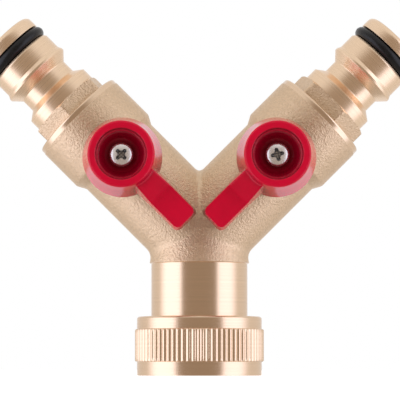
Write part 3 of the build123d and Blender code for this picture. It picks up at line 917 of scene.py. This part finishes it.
def rubber(name, roughness=(0.22, 0.36)):
    m = Shader(name, Metallic=0.0, IOR=1.5, Specular_IOR_Level=0.28)
    m.colours(m.noise(1.5, detail=4.0), [(0.3, (0.006, 0.006, 0.007)), (0.7, (0.014, 0.014, 0.016))])
    m.roughness(m.noise(0.5), *roughness)
    m.bump(m.noise(0.25, detail=3.0), 0.004, 0.6)
    return m.material


def ptfe():
    m = Shader("seat_ptfe", Metallic=0.0, IOR=1.38, Subsurface_Weight=0.15)
    m.colours(m.noise(1.2, detail=4.0), [(0.3, (0.78, 0.78, 0.74)), (0.7, (0.88, 0.88, 0.86))])
    m.roughness(m.noise(0.4), 0.35, 0.5)
    m.bump(m.noise(0.3, detail=3.0), 0.004, 0.5)
    return m.material


def set_axial(piece, axis_of):
    """Stores, at each vertex, the distance along the axis it was turned on, in millimetres."""
    count = len(piece.data.vertices)
    spots = np.empty(count * 3)
    piece.data.vertices.foreach_get("co", spots)
    values = axis_of(spots.reshape(-1, 3) / MM)
    piece.data.attributes.new("axial", "FLOAT", "POINT").data.foreach_set("value", values.astype(np.float32))


def face_centres(piece):
    spots = np.empty(len(piece.data.polygons) * 3)
    piece.data.polygons.foreach_get("center", spots)
    return spots.reshape(-1, 3) / MM


def paint(piece, materials, chosen=None):
    """Gives the piece its materials; chosen is a slot number for each face."""
    piece.data.materials.clear()
    for material in materials:
        piece.data.materials.append(material)
    count = len(piece.data.polygons)
    numbers = np.zeros(count, np.int32) if chosen is None else chosen.astype(np.int32)
    piece.data.polygons.foreach_set("material_index", numbers)


def along_arm(points, side):
    """How far along an arm points are, and how far from its axis."""
    origin, _, _, along = arm_frame(side)
    reach = (points - origin) @ along
    return reach, np.linalg.norm(points - origin - reach[:, None] * along, axis=1)


def casting_axial(points):
    reach = {side: along_arm(points, side)[0] for side in SIDES}
    arms = np.where(points[:, 0] < 0, reach["left"], reach["right"])
    return np.where(points[:, 2] < NECK_TURNED_Z + 0.5, points[:, 2], arms)


def casting_faces(piece):
    """Slot 1 where the casting is machined: the neck, the collars' lips, every bore and the bosses' tops."""
    centres = face_centres(piece)
    machined = centres[:, 2] < NECK_TURNED_Z - 0.02
    for side in SIDES:
        reach, radius = along_arm(centres, side)
        beside = np.sign(centres[:, 0]) == SIDES[side]
        lip = (reach > COLLAR_END_S - LIP_LENGTH - 0.01) & (radius < COLLAR_R - 0.02)
        deep = np.abs(centres[:, 1]) < BOSS_TOP_H - MACHINED_BELOW_TOP
        bore = (reach > 0) & (radius < SHANK_BORE_R + 0.05) & deep
        machined |= beside & (lip | bore)
        centre, _, _, front = valve_frame(side)
        height = (centres - centre) @ front
        machined |= beside & (height > BOSS_TOP_H - 0.05) & (height < BOSS_TOP_H + 0.05)
    return machined


def nipple_faces(piece, side):
    """Slot 1 on the hexagon's flats, which stay as forged."""
    reach, radius = along_arm(face_centres(piece), side)
    normals = np.empty(len(piece.data.polygons) * 3)
    piece.data.polygons.foreach_get("normal", normals)
    along = arm_frame(side)[3]
    sideways = np.abs(normals.reshape(-1, 3) @ along) < 0.3
    return (reach > HEX_S[0]) & (reach < HEX_S[1]) & (radius > HEX_FLATS_FROM_R) & sideways


# ---------------------------------------------------------------- the pieces
CAST = cast_brass()
TURNED = turned_brass("turned_brass")
NUT_BRASS = turned_brass("nut_brass", roughness=(0.18, 0.27))
NIPPLE_BRASS = turned_brass("nipple_brass", roughness=(0.26, 0.35), colour=NIPPLE_METAL)
LEVER_RED = red_plastic()
SEAL_RUBBER = rubber("seal_rubber")
# painted shade: the steel's colour darkens in the screw's cross recess and is lightened a little on open surfaces
SCREW_STEEL = plain_turned("screw_steel", (0.93, 0.92, 0.93), (0.26, 0.38), 0.4, shade_reach=0.8)


def install(piece, body, node):
    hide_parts(node)
    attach(piece, body)


casting = finished_casting()
set_axial(casting, casting_axial)
paint(casting, [CAST, TURNED], casting_faces(casting))
install(casting, "casting", "splitter_body")

nut = build_nut()
set_axial(nut, lambda points: points[:, 2])
paint(nut, [NUT_BRASS])
install(nut, "inlet_nut", "swivel_nut")

for side in SIDES:
    nipple = build_nipple(side)
    set_axial(nipple, lambda points: along_arm(points, side)[0])
    paint(nipple, [NIPPLE_BRASS, CAST], nipple_faces(nipple, side))
    install(nipple, "casting", f"{side}_nipple")

    seal = build_seal(side)
    paint(seal, [SEAL_RUBBER])
    install(seal, "casting", f"{side}_nipple_o_ring")

    handle = build_lever(side)
    paint(handle, [LEVER_RED])
    install(handle, f"{side}_valve", f"{side}_lever")

    screw = build_screw(side)
    paint(screw, [SCREW_STEEL])
    install(screw, f"{side}_valve", f"{side}_lever_screw")

NODE_MATERIALS = {
    "nut_retaining_ring": plain_turned("wire_steel", (0.56, 0.56, 0.57), (0.2, 0.34), 0.3),
    "inlet_gasket": rubber("gasket_rubber", (0.45, 0.62)),
    "ball": plain_turned("ball_chrome", (0.78, 0.78, 0.80), (0.05, 0.10), 1.0),
    "seat": ptfe(),
    "thrust_washer": ptfe(),
    "stem": plain_turned("stem_brass", TURNED_BRASS, (0.16, 0.28)),
    "stem_o_ring": rubber("stem_seal_rubber"),
}
for name, node in frame["nodes"].items():
    keys = [key for key in NODE_MATERIALS if name.endswith(key)]
    if keys:
        node.data.materials.clear()
        node.data.materials.append(NODE_MATERIALS[max(keys, key=len)])


# ---------------------------------------------------------------- studio
FLOOR_HALF = 1.5

# each softbox: its side, lowest and highest elevation and far edge in degrees, and its light
SOFTBOXES = (
    (-1, -50, 27, 100, (1.62, 1.62, 1.84)),
    (1, -42, 34, 92, (1.52, 1.52, 1.74)),
)
SOFTBOX_NEAR = 44
SOFTBOX_SIDE_BLUR = (8, 30)
SOFTBOX_END_BLUR = (14, 14)
FRONT_CARD = (0.355, 0.285, 0.225)
BACK_WALL = (0.76, 0.72, 0.68)
SWEEP = (0.88, 0.88, 0.90)
CEILING = (0.82, 0.79, 0.76)
GROUND = (0.50, 0.46, 0.42)

# where one colour gives way to the next, and over how many degrees
CARD_EDGE = (50, 30)
SWEEP_EDGE = (160, 20)
CEILING_EDGE = (38, 30)
GROUND_EDGE = (-52, 24)


def build_floor():
    """Plain white floor that the pieces neither reflect nor take light or shadow from."""
    half = FLOOR_HALF
    corners = [(-half, -half, 0), (half, -half, 0), (half, half, 0), (-half, half, 0)]
    mesh = bpy.data.meshes.new("floor")
    mesh.from_pydata(corners, [], [(0, 1, 2, 3)])
    floor = bpy.data.objects.new("floor", mesh)
    bpy.context.scene.collection.objects.link(floor)
    paper = bpy.data.materials.new("white_paper")
    paper.use_nodes = True
    surface = paper.node_tree.nodes["Principled BSDF"]
    surface.inputs["Base Color"].default_value = (0.9, 0.9, 0.9, 1)
    surface.inputs["Roughness"].default_value = 0.9
    surface.inputs["Emission Color"].default_value = (1, 1, 1, 1)
    surface.inputs["Emission Strength"].default_value = 1.0
    mesh.materials.append(paper)
    floor.visible_glossy = False
    floor.visible_diffuse = False
    floor.visible_shadow = False


def build_world():
    """Two tall softboxes beside the camera, a dark card behind it and pale walls; the camera sees white."""
    world = bpy.data.worlds.new("studio")
    world.use_nodes = True
    tree = world.node_tree
    make = tree.nodes.new
    link = tree.links.new
    background = tree.nodes["Background"]
    spot = make("ShaderNodeSeparateXYZ")
    link(make("ShaderNodeTexCoord").outputs["Generated"], spot.inputs["Vector"])

    def math(kind, a, b=None, clamp=False):
        node = make("ShaderNodeMath")
        node.operation = kind
        node.use_clamp = clamp
        for socket, value in zip(node.inputs, (a, b)):
            if value is None:
                continue
            if isinstance(value, (int, float)):
                socket.default_value = value
            else:
                link(value, socket)
        return node.outputs[0]

    def step(value, edge, width):
        """0 below an edge and 1 above it, with a soft change that many degrees wide."""
        edge, width = radians(edge), radians(width)
        node = make("ShaderNodeMapRange")
        node.interpolation_type = "SMOOTHSTEP"
        node.inputs["From Min"].default_value = edge - width / 2
        node.inputs["From Max"].default_value = edge + width / 2
        link(value, node.inputs["Value"])
        return node.outputs["Result"]

    def blend(factor, low, high):
        node = make("ShaderNodeMix")
        node.data_type = "RGBA"
        link(factor, node.inputs["Factor"])
        for socket, value in ((node.inputs[6], low), (node.inputs[7], high)):
            if isinstance(value, tuple):
                socket.default_value = (*value, 1)
            else:
                link(value, socket)
        return node.outputs[2]

    ahead = math("MULTIPLY", spot.outputs["Y"], -1.0)
    signed = math("ARCTAN2", spot.outputs["X"], ahead)
    azimuth = math("ABSOLUTE", signed)
    elevation = math("ARCSINE", spot.outputs["Z"])

    def window(value, low, high, low_width, high_width):
        below = step(value, low, low_width)
        above = math("SUBTRACT", 1.0, step(value, high, high_width))
        return math("MULTIPLY", below, above)

    colour = blend(step(azimuth, *CARD_EDGE), FRONT_CARD, BACK_WALL)
    colour = blend(step(azimuth, *SWEEP_EDGE), colour, SWEEP)
    colour = blend(step(elevation, *CEILING_EDGE), colour, CEILING)
    colour = blend(math("SUBTRACT", 1.0, step(elevation, *GROUND_EDGE)), colour, GROUND)
    for way, low, high, far, light in SOFTBOXES:
        beside = window(math("MULTIPLY", signed, float(way)), SOFTBOX_NEAR, far, *SOFTBOX_SIDE_BLUR)
        box = math("MULTIPLY", beside, window(elevation, low, high, *SOFTBOX_END_BLUR))
        colour = blend(box, colour, light)
    colour = blend(make("ShaderNodeLightPath").outputs["Is Camera Ray"], colour, (1.0, 1.0, 1.0))
    link(colour, background.inputs["Color"])
    bpy.context.scene.world = world


# ---------------------------------------------------------------- camera
CAMERA_DISTANCE = 600.0
CAMERA_ELEVATION = -3.7
CAMERA_LENS = 234.3
AIM = (0.14, 0.0, 40.42)


def make_camera():
    data = bpy.data.cameras.new("photo_camera")
    data.lens = CAMERA_LENS
    data.sensor_width = 36.0
    data.clip_start = 0.01
    camera = bpy.data.objects.new("photo_camera", data)
    tilt = radians(CAMERA_ELEVATION)
    aim = Vector(AIM)
    camera.location = (aim + Vector((0, -cos(tilt), sin(tilt))) * CAMERA_DISTANCE) * MM
    camera.rotation_euler = (pi / 2 - tilt, 0, 0)
    bpy.context.scene.collection.objects.link(camera)
    bpy.context.scene.camera = camera


make_camera()
build_floor()
build_world()
bpy.context.scene.view_settings.view_transform = "Standard"
